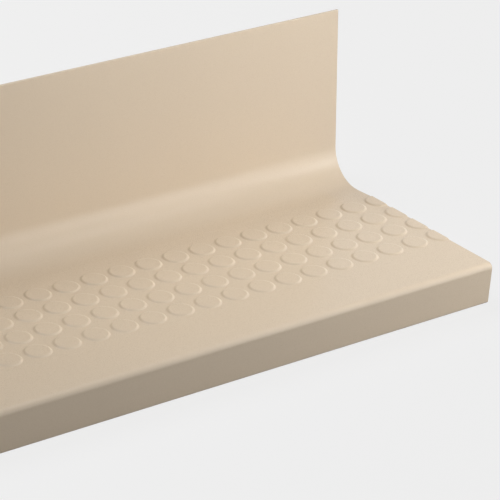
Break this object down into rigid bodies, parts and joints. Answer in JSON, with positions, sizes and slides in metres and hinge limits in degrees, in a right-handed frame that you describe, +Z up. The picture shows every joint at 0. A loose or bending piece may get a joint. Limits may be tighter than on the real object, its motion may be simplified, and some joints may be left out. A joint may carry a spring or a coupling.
{
  "type": "one-piece rubber stair tread with riser",
  "caption": "One-piece moulded rubber stair covering: studded tread with a square hanging nose, coved back corner and smooth upright riser.",
  "frame": {"origin": "centre of the bounding box's base, on the floor that the piece rests on", "axes": "+X along the length of the step, +Y back from the nose to the riser, +Z up; the piece rests on its nose lip and the heel of its cove, so its tread slopes down to the back by about 10 degrees, and its riser leans back by about 15, of which 5 are its own"},
  "size_m": [0.9144, 0.325, 0.1885],
  "materials": {
    "moulded_rubber": "matte beige moulded rubber"
  },
  "bodies": {
    "root": {"tread_riser": "moulded_rubber"}
  },
  "joints": []
}
